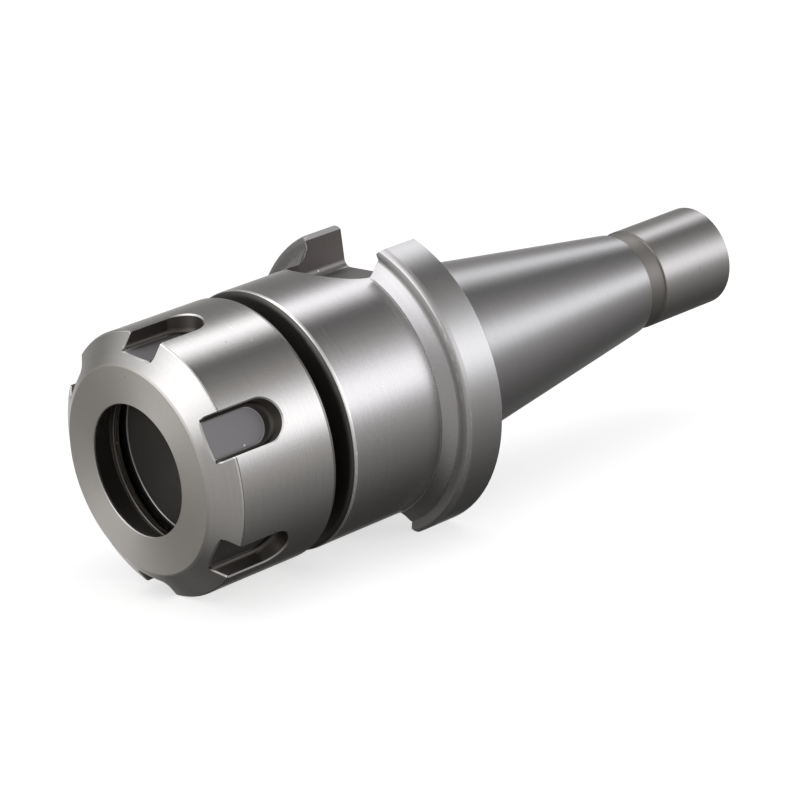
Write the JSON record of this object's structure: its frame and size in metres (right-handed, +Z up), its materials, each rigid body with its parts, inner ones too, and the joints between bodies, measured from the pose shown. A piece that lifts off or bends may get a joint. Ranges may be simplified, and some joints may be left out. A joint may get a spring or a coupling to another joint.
{
  "type": "collet chuck holder",
  "caption": "Collet chuck holder with a 7:24 steep taper shank, a slotted drive flange and a threaded clamping nut.",
  "frame": {"origin": "on the tool axis in the gauge plane of the taper, where its diameter is 31.75 mm", "axes": "+Y along the tool axis towards the pilot, -Y out of the clamping nut; +Z up through a drive slot"},
  "size_m": [0.05, 0.1219, 0.0464],
  "materials": {
    "ground_steel": "hardened steel, ground, satin",
    "turned_steel": "hardened steel, finely turned and polished"
  },
  "bodies": {
    "chuck": {"chuck_body": "ground_steel"},
    "nut": {"clamping_nut": "turned_steel"}
  },
  "joints": [
    {"name": "nut_turn", "type": "hinge", "parent": "chuck", "child": "nut", "pos_m": [0, -0.0429, 0], "axis": [0, -1, 0], "range_deg": [-380, 2520]}
  ]
}
